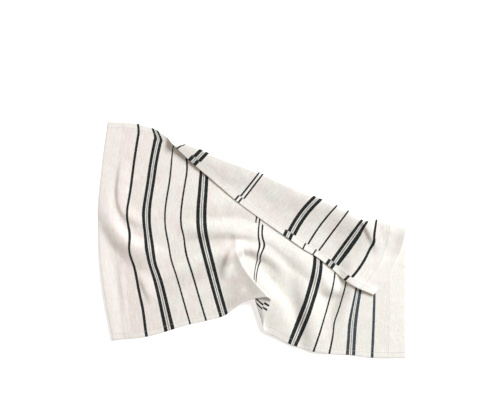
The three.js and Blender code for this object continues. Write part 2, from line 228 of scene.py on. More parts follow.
def nudged(place: np.ndarray, nudges: tuple[Nudge, ...]) -> np.ndarray:
    """Places, each moved by the sum of push * exp(-(distance / reach)^2).

    Args:
        place: Places seen from above, shape (..., 2).
        nudges: What pushes them.

    Returns:
        The moved places, shape (..., 2).
    """
    moved = place.copy()
    for nudge in nudges:
        away = (place[..., 0] - nudge.x) ** 2 + (place[..., 1] - nudge.y) ** 2
        moved += np.exp(-away / nudge.reach**2)[..., None] * (nudge.dx, nudge.dy)
    return moved


@dataclass(frozen=True)
class Spot:
    """A place on a ridge's crest: where it is, how high, and how far its foot reaches to each side."""

    x: float
    y: float
    rise: float
    left: float
    right: float


@dataclass(frozen=True)
class Ridge:
    """A soft ridge seen from above, along a smooth crest through a few spots."""

    name: str
    crest: tuple[Spot, ...]
    layer: Layer = Layer.ALL

    def line(self) -> np.ndarray:
        """The crest at even steps.

        Returns:
            Rows of x, y, rise, left and right, shape (CREST_STEPS, 5).
        """
        rows = np.array([(s.x, s.y, s.rise, s.left, s.right) for s in self.crest], float)
        gone = np.linalg.norm(np.diff(rows[:, :2], axis=0), axis=1)
        knots = np.concatenate([[0.0], np.cumsum(gone)])
        at = np.linspace(0.0, knots[-1], CREST_STEPS)
        return curve_through(knots, rows[:, None, :], at[None, :])[0]

    def height(self, place: np.ndarray, wider: np.ndarray) -> np.ndarray:
        """Height over each place: rise (1 - (d / reach)^2)^2, d being the distance from the crest.

        Args:
            place: Places seen from above, shape (N, 2).
            wider: Added to the reach on both sides, shape (N,).

        Returns:
            Heights, shape (N,), 0 outside the reach.
        """
        row = self.line()
        start, span = row[:-1, :2], np.diff(row[:, :2], axis=0)
        offset = place[:, None, :] - start
        share = np.clip((offset * span).sum(-1) / (span * span).sum(-1), 0.0, 1.0)
        gap = offset - share[..., None] * span
        away = np.linalg.norm(gap, axis=-1)
        best = away.argmin(axis=1)
        n = np.arange(len(place))
        here = mix(row[best], row[best + 1], share[n, best][:, None])
        side = span[best, 0] * gap[n, best, 1] - span[best, 1] * gap[n, best, 0]
        span_length = np.linalg.norm(span[best], axis=1)
        lean = 0.5 + 0.5 * side / np.maximum(TINY, away[n, best] * span_length)
        reach = mix(here[:, 4], here[:, 3], ease(lean)) + wider
        return here[:, 2] * np.maximum(0.0, 1.0 - (away[n, best] / reach) ** 2) ** 2


RIDGES = (
    Ridge("left crease", (
        Spot(-292, 185, 0, 23, 9), Spot(-300, 140, 3, 29, 8), Spot(-303, 95, 3.4, 32, 8),
        Spot(-295, 66, 3.4, 27, 9), Spot(-272, 48, 3, 23, 16), Spot(-231, 32, 0, 20, 16),
    )),
    Ridge("left swell", (
        Spot(-326, 163, 0, 18, 41), Spot(-329, 95, 2, 23, 41), Spot(-322, 45, 4.8, 25, 29),
        Spot(-297, 5, 7.6, 25, 34), Spot(-265, -18, 7.0, 29, 45), Spot(-227, -32, 4.5, 29, 50),
        Spot(-191, -45, 0, 27, 41),
    )),
    Ridge("left edge", (
        Spot(-356, 18, 0, 27, 23), Spot(-351, -27, 2.5, 34, 23), Spot(-340, -102, 3.6, 38, 23),
        Spot(-326, -181, 3.6, 38, 23), Spot(-320, -238, 3, 38, 23),
    )),
    Ridge("foot crease", (
        Spot(-256, -72, 0, 25, 11), Spot(-247, -97, 3, 27, 10), Spot(-236, -120, 2.6, 27, 11),
        Spot(-225, -147, 0, 23, 11),
    )),
    Ridge("end hem", (
        Spot(-299, -41, 0, 11, 11), Spot(-296, -90, 1.2, 11, 11), Spot(-291, -147, 1.2, 11, 11),
        Spot(-285, -213, 0.8, 11, 11),
    )),
    Ridge("above the cross", (
        Spot(-154, 63, 0, 32, 23), Spot(-109, 74, 2.2, 41, 31), Spot(-59, 76, 2.5, 41, 32),
        Spot(-14, 72, 2.1, 41, 32), Spot(26, 52, 0, 32, 27),
    )),
    Ridge("upper cross", (
        Spot(-168, 23, 0, 27, 27), Spot(-123, 21, 4.2, 29, 27), Spot(-78, 20, 5.8, 34, 22),
        Spot(-32, 17, 5.4, 36, 19), Spot(-1, 9, 4.8, 35, 18), Spot(36, -5, 3.8, 32, 23),
        Spot(74, -25, 3.4, 34, 25), Spot(112, -52, 4.0, 34, 27), Spot(149, -81, 4.2, 32, 27),
        Spot(176, -109, 2, 27, 27),
    )),
    Ridge("lower cross", (
        Spot(-213, -105, 0, 32, 32), Spot(-164, -80, 3.5, 31, 36), Spot(-118, -58, 6, 30, 36),
        Spot(-78, -40, 7.6, 29, 32), Spot(-48, -29, 8.4, 27, 27), Spot(-28, -22, 8.4, 26, 20),
        Spot(-5, -20, 7.8, 25, 18), Spot(17, -27, 6.4, 24, 20), Spot(42, -40, 5, 22, 22),
        Spot(63, -56, 3.4, 20, 18), Spot(72, -77, 2.5, 18, 16), Spot(70, -102, 0, 16, 16),
    )),
    Ridge("spur", (
        Spot(-38, -20, 1, 16, 11), Spot(-51, -38, 6.5, 18, 11), Spot(-61, -63, 5, 18, 12),
        Spot(-69, -90, 0, 18, 14),
    )),
    Ridge("pleat spine", (
        Spot(-19, -50, 1, 18, 77), Spot(-1, -70, 4.5, 23, 90), Spot(20, -100, 7, 27, 95),
        Spot(42, -131, 7.2, 34, 100), Spot(63, -163, 6.5, 34, 95), Spot(78, -199, 4.5, 32, 95),
        Spot(90, -231, 2.5, 32, 90),
    )),
    Ridge("dimple ridge", (
        Spot(54, -41, 0, 18, 18), Spot(59, -63, 2, 18, 18), Spot(59, -86, 2, 18, 18),
        Spot(56, -113, 0, 18, 18),
    )),
    Ridge("band ridge", (
        Spot(110, -68, 0, 32, 29), Spot(119, -113, 6.6, 44, 31), Spot(127, -158, 9.6, 52, 32),
        Spot(134, -204, 7.2, 50, 31), Spot(140, -240, 4.5, 40, 32),
    )),
    Ridge("right crest", (
        Spot(293, 32, 4, 32, 68), Spot(282, -16, 7, 32, 80), Spot(259, -61, 9.5, 32, 72),
        Spot(230, -100, 12, 27, 34), Spot(215, -136, 8, 25, 27), Spot(201, -176, 4.5, 29, 29),
        Spot(180, -222, 2, 34, 29), Spot(167, -249, 1, 34, 29),
    )),
    Ridge("pocket lip", (
        Spot(151, -102, 0, 32, 20), Spot(169, -110, 4, 34, 23), Spot(189, -113, 5, 32, 23),
        Spot(210, -106, 1, 27, 18),
    )),
    Ridge("near edge", (
        Spot(-14, -109, 0, 10, 10), Spot(-32, -128, 2.4, 10, 10), Spot(-48, -145, 1.8, 10, 10),
        Spot(-64, -161, 0, 10, 10),
    )),
    Ridge("flap corner", (
        Spot(212, -86, 0, 27, 27), Spot(239, -109, 2.6, 29, 27), Spot(271, -129, 3.2, 29, 27),
        Spot(289, -136, 3, 27, 27),
    ), Layer.FLAP),
    Ridge("dart", (
        Spot(248, 42, 2, 26, 8), Spot(257, 27, 3.6, 28, 7), Spot(267, 8, 3.8, 28, 7.5),
        Spot(277, -12, 2, 24, 9), Spot(284, -30, 0, 18, 10),
    ), Layer.FLAP),
)


# The cloth

@dataclass(frozen=True)
class Tuck:
    """A small tuck near the back fold: where it lies, how much cloth it takes, and its reach."""

    at: float
    taken: float
    spread: float


@dataclass(frozen=True)
class Stretch:
    """A stretch of the cloth's middle surface, columns by rows, in millimetres."""

    place: np.ndarray
    height: np.ndarray
    across: np.ndarray


@dataclass(frozen=True)
class Columns:
    """The grid's columns: what each reads off the section table, and how its cloth turns.

    outward, onward and sideways are directions seen from above: out over the back fold, down the
    flap where it leaves the fold, and across the flap. closed goes from 0 where the flap is open
    to 1 where it lies down. reach is the cloth from the front edge to the back fold, and turn is
    what the fold itself takes.
    """

    at: np.ndarray
    places: np.ndarray
    hem: np.ndarray
    roll: np.ndarray
    bend: np.ndarray
    lift: np.ndarray
    gathered: np.ndarray
    outward: np.ndarray
    onward: np.ndarray
    sideways: np.ndarray
    closed: np.ndarray
    turn: np.ndarray
    reach: np.ndarray


@dataclass(frozen=True)
class Faces:
    """Both faces of the sheet on the grid, and what its rim needs.

    centre and radius are those of the half round rim, and along and across are the directions of
    the grid's lines.
    """

    front: np.ndarray
    back: np.ndarray
    normal: np.ndarray
    centre: np.ndarray
    radius: np.ndarray
    along: np.ndarray
    across: np.ndarray


class Side(Enum):
    """The two faces of the cloth, each with the sign of its outward normal."""

    FRONT = 1.0
    BACK = -1.0


@dataclass
class FoldedCloth:
    """The whole sheet with its hems, as one closed mesh.

    front and back are the sheet's thickness to each side of its middle surface, and turned is what
    a hem adds at the back. lay is the flap's clearance above the base at the back fold and at its
    hem, and settle the length over which it sinks from the fold's height. closing are the places
    along the cloth between which the flap closes, and stand how high it stands there, half closed.
    turns are the places of the pleat's two turns, with half their height, and turn_end the share of
    the base over which they fade out. ledge is the width of a hem's edge.

    veil widens the ridges' feet for the flap. least_turn is the least cloth in the back fold.
    straight_from and bow_at are the shares of the base and the flap where the fold reads their
    directions. pucker_sway and pucker_drift make the pucker uneven. column_gap is the least gap
    to a hem's line in columns, and least_row that between two rows. map_face is one face's share of
    the map for baking, and map_rim the foot and the height of the rim's.
    """

    length: float = 750.0
    width: float = 500.0
    front: float = 0.4
    back: float = 0.4
    turned: float = 0.3
    side_hem: float = 14.0
    end_hem: float = 36.0
    ledge: float = 2.0
    lay: tuple[float, float] = (3.0, 1.3)
    veil: float = 10.0
    settle: float = 42.0
    least_turn: float = 12.0
    straight_from: float = 0.97
    bow_at: float = 0.4
    closing: tuple[float, float] = (162.0, 197.0)
    stand: float = 4.5
    turns: tuple[tuple[float, float], ...] = ((359.0, 3.5), (432.0, 1.5))
    turn_half: float = 8.0
    turn_fade: float = 30.0
    turn_end: float = 0.3
    tuck: Tuck = Tuck(652.0, 7.0, 13.0)
    seed: int = 11
    wrinkle_count: int = 48
    wrinkle_lengths: tuple[float, float] = (11.0, 46.0)
    wrinkle_steepness: float = 0.00085
    pucker_length: float = 9.0
    pucker_reach: float = 5.0
    pucker_height: float = 0.07
    pucker_sway: float = 2.0
    pucker_drift: tuple[float, float] = (31.0, 23.0)
    columns: int = 264
    column_gap: float = 0.4
    base_rows: int = 104
    roll_rows: int = 10
    flap_rows: int = 46
    hem_rows: int = 6
    least_row: float = 0.2
    rim_steps: int = 4
    map_face: float = 0.48
    map_rim: tuple[float, float] = (0.485, 0.03)
    along: np.ndarray = field(init=False, repr=False)
    across: np.ndarray = field(init=False, repr=False)
    middle: np.ndarray = field(init=False, repr=False)
    faces: Faces = field(init=False, repr=False)

    def columns_at(self) -> np.ndarray:
        """Distances of the grid's columns from the left end, with close lines at both end hems.

        Returns:
            Rising distances. An even line that is too near to a hem's line is left out.
        """
        lines = np.linspace(0.0, self.length, self.columns)
        step = lines[1]
        exact = self.end_hem + self.ledge * np.array([-0.5, 0.5])
        exact = np.concatenate([exact, self.length - exact[::-1]])
        far = np.all(np.abs(lines[:, None] - exact) > self.column_gap * step, axis=1)
        return np.sort(np.concatenate([lines[far], exact]))

    def hem_lines(self) -> np.ndarray:
        """Distances of a side hem's rows from its edge, with a close pair at its ledge."""
        turned = np.linspace(0.0, self.side_hem - self.ledge / 2, self.hem_rows)
        return np.append(turned, self.side_hem + self.ledge / 2)

    def ground(self, place: np.ndarray, layer: np.ndarray) -> np.ndarray:
        """Height that the ridges give each place, with a wider foot for the flap above them.

        Args:
            place: Places seen from above, shape (..., 2).
            layer: 0 for the base up to 1 for the flap, shape (...).

        Returns:
            Sum of the ridges' heights, shape (...).
        """
        flat, layers = place.reshape(-1, 2), layer.ravel()
        total = np.zeros(len(flat))
        for ridge in RIDGES:
            if ridge.layer is Layer.FLAP:
                total += layers * ridge.height(flat, np.zeros(len(flat)))
            else:
                total += ridge.height(flat, self.veil * layers)
        return total.reshape(layer.shape)

    def turn_height(self, at: np.ndarray) -> np.ndarray:
        """Step down across the pleat's turns: the sum of -rise tanh(d / half) exp(-(d / fade)^2).

        Args:
            at: Distances along the cloth.

        Returns:
            Height at each distance d from a turn, up before it and down after it.
        """
        total = np.zeros_like(at)
        for place, rise in self.turns:
            away = at - place
            total -= rise * np.tanh(away / self.turn_half) * np.exp(-((away / self.turn_fade) ** 2))
        return total

    def wrinkles(self, place: np.ndarray) -> np.ndarray:
        """Faint uneven wrinkles seen from above: a sum of low waves in all directions.

        Each wave of length L is wrinkle_steepness * L high. Both layers share them, so the flap
        follows the base under it.

        Args:
            place: Places seen from above, shape (..., 2).

        Returns:
            Height at each place, shape (...).
        """
        rng = np.random.default_rng(self.seed)
        length = rng.uniform(*self.wrinkle_lengths, self.wrinkle_count)
        turn = rng.uniform(0.0, 2.0 * np.pi, (2, self.wrinkle_count))
        total = np.zeros(place.shape[:-1])
        for wave, way, phase in zip(length, *turn):
            gone = place[..., 0] * np.cos(way) + place[..., 1] * np.sin(way)
            total += self.wrinkle_steepness * wave * np.cos(2.0 * np.pi * gone / wave + phase)
        return total

    def inside(self) -> tuple[np.ndarray, np.ndarray]:
        """How far each point lies inside the nearer side of the cloth, and inside its nearer end."""
        inside_side = np.minimum(self.across, self.width - self.across)
        return inside_side, np.minimum(self.along, self.length - self.along)

    def pucker(self) -> np.ndarray:
        """Small waves along the sewn hems: sin(beat * distance + sway) exp(-(d / reach)^2).

        Returns:
            Height at each grid point, d being its distance from a hem's stitches.
        """
        inside_side, inside_end = self.inside()
        side = np.exp(-(((inside_side - self.side_hem) / self.pucker_reach) ** 2))
        end = np.exp(-(((inside_end - self.end_hem) / self.pucker_reach) ** 2))
        beat = 2.0 * np.pi / self.pucker_length
        slow_along, slow_across = self.pucker_drift
        uneven = np.sin(self.along / slow_along) + np.sin(self.across / slow_across)
        sway = self.pucker_sway * uneven
        waves = side * np.sin(beat * self.along + sway) + end * np.sin(beat * self.across + sway)
        return self.pucker_height * waves

    def read_sections(self) -> Columns:
        """Reads the section table at every column.

        The back fold takes half a circle over its height, or least_turn. The flap needs the way
        from the fold's end to its hem, and the base gets the rest of the cloth's width.

        Returns:
            The grid's columns.
        """
        at = self.columns_at()
        knots = np.array([section.at for section in SECTIONS], float)
        rows = np.array([section.row() for section in SECTIONS], float)
        table = curve_through(knots, rows[:, None, :], at[None, :])[0]
        ends = np.cumsum(SECTION_ROW)[:-1]
        places, hem, roll, bend, lift, gathered = np.split(table, ends, axis=1)
        places = places.reshape(len(at), -1, 2).swapaxes(0, 1)
        roll, bend, gathered = np.maximum(0.0, roll[:, 0]), bend[:, 0], gathered[:, 0]
        fold = places[-1]
        near_end = curve_through(SHARES, places, np.full((len(at), 1), self.straight_from))[:, 0]
        outward = unit(fold - near_end)
        chord = hem - fold
        sideways = unit(np.stack([-chord[:, 1], chord[:, 0]], axis=-1))
        onward = unit(self.bow_at * chord + bend[:, None] * sideways)
        turn = np.maximum(self.least_turn, np.pi * roll / 2)
        folded_end = fold + (turn / 2)[:, None] * (
            outward * (0.5 - 1 / np.pi) + onward * (0.5 + 1 / np.pi))
        return Columns(
            at=at, places=places, hem=hem, roll=roll, bend=bend,
            lift=np.maximum(0.0, lift), gathered=gathered,
            outward=outward, onward=onward, sideways=sideways,
            closed=ease((at - self.closing[0]) / (self.closing[1] - self.closing[0])),
            turn=turn, reach=self.width - turn - np.linalg.norm(hem - folded_end, axis=-1),
        )

    def base(self, columns: Columns) -> Stretch:
        """The lower layer, from the front edge to the back fold.

        A row at a share of the reach lies on the curve through the section's five places. Its
        height is the pleat's lift, which fades out above the knee, the turns' steps and the ridges.

        Args:
            columns: The grid's columns.

        Returns:
            The base's middle surface.
        """
        hem_lines = self.hem_lines()
        end = (1.0 - columns.turn / 2 / columns.reach) * columns.reach
        run = np.linspace(0.0, 1.0, self.base_rows - len(hem_lines) + 1)[1:]
        across = np.concatenate([
            np.broadcast_to(hem_lines, (len(end), len(hem_lines))),
            mix(hem_lines[-1], end[:, None], run)], axis=1)
        share = across / columns.reach[:, None]
        place = nudged(curve_through(SHARES, columns.places, share), BASE_NUDGES)
        knee = share / SHARES[1]
        at_edge, at_knee = columns.lift[:, :1], columns.lift[:, 1:]
        raised = np.where(
            knee < 1.0,
            mix(at_edge, at_knee, knee),
            at_knee * (1.0 - ease((share - SHARES[1]) / (SHARES[2] - SHARES[1]))),
        )
        turned = self.turn_height(columns.at)[:, None] * (1.0 - ease(share / self.turn_end))
        height = np.maximum(0.0, raised + turned) + self.ground(place, np.zeros(share.shape))
        return Stretch(place, height, across)

    def back_fold(self, columns: Columns) -> Stretch:
        """Half a turn of cloth that leaves along the base's direction and returns along the flap's.

        With a the angle turned and t the cloth that the fold takes, the cloth has gone
        t (a / pi - 1/2) on and t (sin(a) - 1) / pi out, and rises by roll (1 - cos(a)) / 2.

        Args:
            columns: The grid's columns.

        Returns:
            The fold's middle surface.
        """
        part = np.linspace(0.0, 1.0, self.roll_rows + 1)[1:]
        angle = np.pi * part
        turn = columns.turn[:, None]
        bulge = turn / np.pi * (np.sin(angle) - 1.0)
        drift = turn * (part - 0.5)
        place = (
            columns.places[-1][:, None]
            + columns.outward[:, None] * ((bulge + drift) / 2)[..., None]
            + columns.onward[:, None] * ((drift - bulge) / 2)[..., None]
        )
        ridges = self.ground(place, np.broadcast_to(part, bulge.shape))
        height = ridges + columns.roll[:, None] / 2 * (1.0 - np.cos(angle))
        across = columns.reach[:, None] + turn * part - turn / 2 * (1 - part)
        return Stretch(place, height, across)

    def flap(self, columns: Columns, start: np.ndarray) -> tuple[Stretch, np.ndarray]:
        """The upper layer: a run from the back fold to the hem, with a bow 4 bend s (1 - s).

        s is the share of the way down. The flap sinks from the fold's height to its clearance
        above the base, and stands up where it is half closed.

        Args:
            columns: The grid's columns.
            start: Where each column leaves the back fold, shape (C, 1, 2).

        Returns:
            The flap's middle surface, and s at each of its points.
        """
        hem_lines = self.width - self.hem_lines()[::-1]
        first = (columns.reach + columns.turn)[:, None]
        run = np.linspace(0.0, 1.0, self.flap_rows - len(hem_lines) + 1)[1:-1]
        across = np.concatenate([
            mix(first, np.maximum(hem_lines[0], first + self.least_row), run),
            np.broadcast_to(hem_lines, (len(first), len(hem_lines)))], axis=1)
        least = self.least_row * np.arange(1, across.shape[1] + 1)
        across = np.minimum(np.maximum(across, first + least), self.width)
        down = (across - first) / (self.width - first)
        bow = columns.bend[:, None] * 4 * down * (1 - down)
        place = mix(start, columns.hem[:, None], down[..., None])
        place = nudged(place + columns.sideways[:, None] * bow[..., None], FLAP_NUDGES)
        gone = np.linalg.norm(place - start, axis=-1)
        roll, closed = columns.roll[:, None], columns.closed[:, None]
        rests = np.minimum(mix(*self.lay, ease(down)) * closed, roll)
        sunk = np.exp(-((gone / self.settle) ** 2))
        stands = 4.0 * self.stand * (closed * (1.0 - closed)) * down
        height = self.ground(place, np.ones(gone.shape)) + mix(rests, roll, sunk) + stands
        return Stretch(place, height, across), down

    def lay_out(self) -> None:
        """Joins the base, back fold and flap, and gives each point its place on the flat cloth.

        That place is further back where the pleat, or the tuck near the fold, has taken up cloth.
        """
        columns = self.read_sections()
        base, back_fold = self.base(columns), self.back_fold(columns)
        flap, down = self.flap(columns, back_fold.place[:, -1:])
        parts = (base, back_fold, flap)
        place = np.concatenate([part.place for part in parts], axis=1)
        height = np.concatenate([part.height for part in parts], axis=1) + self.wrinkles(place)
        self.across = np.concatenate([part.across for part in parts], axis=1)
        reach = columns.reach[:, None]
        above_knee = np.clip(self.across / (SHARES[1] * reach), 0.0, 1.0)
        self.along = columns.at[:, None] - columns.gathered[:, None] * above_knee
        tucked = self.tuck.taken * np.exp(-(((columns.at - self.tuck.at) / self.tuck.spread) ** 2))
        near_fold = np.concatenate(
            [ease(base.across / reach), np.ones(back_fold.across.shape), 1.0 - down], axis=1)
        self.along -= near_fold * tucked[:, None]
        height = np.maximum(0.0, height + self.pucker())
        self.middle = np.concatenate([place, height[..., None] + self.back + self.turned], axis=-1)

    def offset_faces(self) -> None:
        """Front and back faces: the middle surface moved along its normals by each side's sheet.

        The back stands further out where a hem is turned to it.
        """
        along, across = along_grid(self.middle, 0), along_grid(self.middle, 1)
        normal = unit(np.cross(along, across))
        inside_side, inside_end = self.inside()
        side = ease((self.side_hem - inside_side) / self.ledge + 0.5)
        end = ease((self.end_hem - inside_end) / self.ledge + 0.5)
        back = self.back + self.turned * np.maximum(side, end)
        self.faces = Faces(
            front=self.middle + normal * self.front,
            back=self.middle - normal * back[..., None],
            normal=normal,
            centre=self.middle + normal * ((self.front - back) / 2)[..., None],
            radius=(self.front + back) / 2,
            along=along,
            across=across,
        )

    def rim(self) -> tuple[np.ndarray, np.ndarray]:
        """Perimeter of the grid, counter-clockwise from the front, and the way out at each point.

        Returns:
            Grid indices, shape (P, 2), and unit directions out of the sheet, shape (P, 3).
        """
        columns, rows = self.across.shape
        i, j = np.arange(columns), np.arange(rows)
        sides = [
            (i[:-1], np.zeros(columns - 1, int)),
            (np.full(rows - 1, columns - 1), j[:-1]),
            (i[:0:-1], np.full(columns - 1, rows - 1)),
            (np.zeros(rows - 1, int), j[:0:-1]),
        ]
        index = np.concatenate([np.stack(side, axis=-1) for side in sides])
        a, b = index.T
        out = (
            self.faces.along[a, b] * ((a == columns - 1).astype(float) - (a == 0))[:, None]
            + self.faces.across[a, b] * ((b == rows - 1).astype(float) - (b == 0))[:, None]
        )
        return index, unit(out)

    def rim_rings(self, index: np.ndarray, out: np.ndarray) -> list[np.ndarray]:
        """Rings of points on the rim: centre + radius (cos(t) normal + sin(t) out).

        Args:
            index: Grid indices of the perimeter, shape (P, 2).
            out: Unit directions out of the sheet, shape (P, 3).

        Returns:
            One array of shape (P, 3) for each ring between the two faces, t going from 0 to pi.
        """
        a, b = index.T
        radius = self.faces.radius[a, b][:, None]
        angles = [np.pi * k / self.rim_steps for k in range(1, self.rim_steps)]
        return [
            self.faces.centre[a, b] + radius * (
                np.cos(angle) * self.faces.normal[a, b] + np.sin(angle) * out)
            for angle in angles
        ]

    def bake_map(self, where: np.ndarray, quads: np.ndarray, perimeter: int) -> np.ndarray:
        """Map for baking: the front face at the bottom, the back face at the top, the rim between.

        Args:
            where: Place on the flat cloth of each grid point, in millimetres, shape (N, 2).
            quads: Corners of the front face, shape (F, 4).
            perimeter: How many points the rim has.

        Returns:
            Map coordinates for each corner of the front, back and rim faces, shape (.., 4, 2).
        """
        front = where / (self.length, self.width) * (1.0, self.map_face)
        back = front + (0.0, 1.0 - self.map_face)
        turn = np.arange(perimeter) / perimeter
        after = turn + 1.0 / perimeter
        first, height = self.map_rim
        walls = []
        for k in range(self.rim_steps):
            low = np.full(perimeter, first + height * k / self.rim_steps)
            high = np.full(perimeter, first + height * (k + 1) / self.rim_steps)
            corners = [(turn, low), (turn, high), (after, high), (after, low)]
            walls.append(np.stack([np.column_stack(corner) for corner in corners], axis=1))
        return np.concatenate([front[quads], back[quads[:, ::-1]], *walls])

    def mesh(self) -> bpy.types.Object:
        """The closed sheet: front and back faces, and a half round rim between them.

        Returns:
            The cloth's object, with its place on the cloth in an attribute and a map for baking.
        """
        self.lay_out()
        self.offset_faces()
        grid = np.arange(self.across.size).reshape(self.across.shape)
        corners = (grid[:-1, :-1], grid[1:, :-1], grid[1:, 1:], grid[:-1, 1:])
        quads = np.stack(corners, axis=-1).reshape(-1, 4)
        index, out = self.rim()
        perimeter = grid[index[:, 0], index[:, 1]]
        rim = self.rim_rings(index, out)
        inner = 2 * grid.size + np.arange(len(rim) * len(index)).reshape(len(rim), -1)
        ring = [perimeter, *inner, grid.size + perimeter]
        walls = [
            np.stack([upper, lower, np.roll(lower, -1), np.roll(upper, -1)], axis=-1)
            for upper, lower in zip(ring[:-1], ring[1:])
        ]
        faces = np.concatenate([quads, (quads + grid.size)[:, ::-1], *walls])
        points = [self.faces.front.reshape(-1, 3), self.faces.back.reshape(-1, 3), *rim]
        where = np.stack([self.along, self.across], axis=-1).reshape(-1, 2)
        flat = np.concatenate([where, where] + [where[perimeter]] * len(rim))
        sides = [np.zeros(grid.size), np.ones(grid.size)]
        sides += [np.full(len(index), (k + 1) / self.rim_steps) for k in range(len(rim))]
        place = np.column_stack([flat * MILLIMETRE, np.concatenate(sides)])
        loops = self.bake_map(where, quads, len(index))
        return build_mesh("cloth_sheet", np.concatenate(points), faces, self.box_centre(), loops, place)

    def box_centre(self) -> np.ndarray:
        """Way from the sheet's middle to that of the CAD box, seen from above.

        Returns:
            Shift in millimetres, shape (3,).
        """
        flat = self.middle[..., :2].reshape(-1, 2)
        middle = (flat.min(axis=0) + flat.max(axis=0)) / 2
        low, high = CAD_BOX
        target = np.array([(low[0] + high[0]) / 2, (low[1] + high[1]) / 2]) / MILLIMETRE
        return np.array([*(target - middle), 0.0])


def add_object(name: str, data: bpy.types.ID) -> bpy.types.Object:
    """Puts a new object into the scene, at the origin.

    Args:
        name: Name of the object.
        data: Its mesh, light or camera.

    Returns:
        The object.
    """
    thing = bpy.data.objects.new(name, data)
    bpy.context.scene.collection.objects.link(thing)
    return thing


def build_mesh(
    name: str,
    points: np.ndarray,
    faces: np.ndarray,
    shift: np.ndarray,
    loops: np.ndarray,
    place: np.ndarray | None = None,
) -> bpy.types.Object:
    """Puts whole arrays into a smooth mesh object at the origin.

    Args:
        name: Name of the piece.
        points: Points in millimetres, shape (V, 3).
        faces: Four corners for each face, facing outwards, shape (F, 4).
        shift: Shift in millimetres.
        loops: Map coordinates for each corner of each face, shape (F, 4, 2).
        place: Place on the cloth for each point, shape (V, 3), if the finish reads it.

    Returns:
        The new object.
    """
    data = bpy.data.meshes.new(name)
    spots = (points + shift) * MILLIMETRE
    data.vertices.add(len(spots))
    data.vertices.foreach_set("co", spots.astype(np.float32).ravel())
    data.loops.add(faces.size)
    data.loops.foreach_set("vertex_index", faces.astype(np.int32).ravel())
    data.polygons.add(len(faces))
    starts = np.arange(0, faces.size, faces.shape[1], dtype=np.int32)
    data.polygons.foreach_set("loop_start", starts)
    data.polygons.foreach_set("use_smooth", np.ones(len(faces), bool))
    data.update(calc_edges=True)
    if place is not None:
        attribute = data.attributes.new(ATTRIBUTE, "FLOAT_VECTOR", "POINT")
        attribute.data.foreach_set("vector", place.astype(np.float32).ravel())
    layer = data.uv_layers.new(name=BAKE_MAP)
    layer.uv.foreach_set("vector", loops.astype(np.float32).ravel())
    data.validate()
    return add_object(name, data)


# The sewing thread

@dataclass(frozen=True)
class StitchRing:
    """A square ring round a stitch.

    along is its place as a share of the stitch's length from its middle, up its height above the
    cloth as a share of the thread's radius, and thick its own radius as a share of the thread's.
    """

    along: float
    up: float
    thick: float


STITCH_RINGS = (
    StitchRing(-0.5, -1.2, 0.6),
    StitchRing(-0.28, 0.25, 1.0),
    StitchRing(0.28, 0.25, 1.0),
    StitchRing(0.5, -1.2, 0.6),
)


